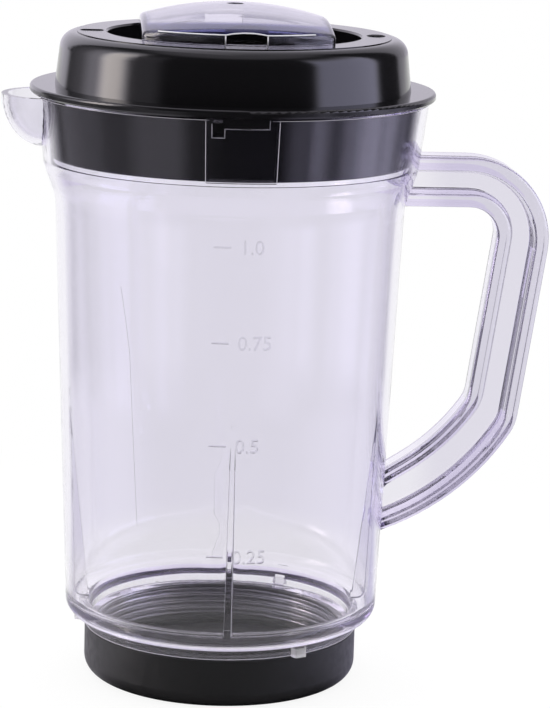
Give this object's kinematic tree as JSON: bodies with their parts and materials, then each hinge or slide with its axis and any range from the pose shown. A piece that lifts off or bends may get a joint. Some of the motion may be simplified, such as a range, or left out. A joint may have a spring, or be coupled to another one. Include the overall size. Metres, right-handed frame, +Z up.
{
  "type": "blender jar",
  "caption": "Clear tapered blender jar with a pouring spout and loop handle, a black plug-in lid with a clear centre cap, and a black screw-on base cap.",
  "frame": {"origin": "centre of the base cap's flat underside", "axes": "+Z up along the jar's axis, +X to the handle, -X to the spout, -Y to the litre scale"},
  "size_m": [0.172, 0.126, 0.2142],
  "materials": {
    "clear_plastic": "clear gloss",
    "lid_black": "gloss black",
    "cap_clear": "clear gloss, faint violet",
    "base_black": "satin black",
    "gasket_rubber": "matt black silicone"
  },
  "bodies": {
    "jar_body": {"jar": "clear_plastic"},
    "lid_body": {"lid": "lid_black"},
    "centre_cap_body": {"centre_cap": "cap_clear"},
    "gasket_body": {"base_gasket": "gasket_rubber"},
    "base_cap_body": {"base_cap": "base_black"}
  },
  "joints": [
    {"name": "lid_lift", "type": "slide", "parent": "jar_body", "child": "lid_body", "axis": [0, 0, 1], "range_m": [0, 0.06]},
    {"name": "cap_lift", "type": "slide", "parent": "lid_body", "child": "centre_cap_body", "axis": [0, 0, 1], "range_m": [0, 0.03]},
    {"name": "base_travel", "type": "slide", "parent": "jar_body", "child": "gasket_body", "axis": [0, 0, -1], "range_m": [0, 0.0122]},
    {"name": "base_unscrew", "type": "hinge", "parent": "gasket_body", "child": "base_cap_body", "pos_m": [0, 0, 0], "axis": [0, 0, -1], "range_deg": [0, 1980]}
  ],
  "couplings": [
    {"joint": "base_travel", "follows": "base_unscrew", "m_per_rad": 0.00035014}
  ]
}
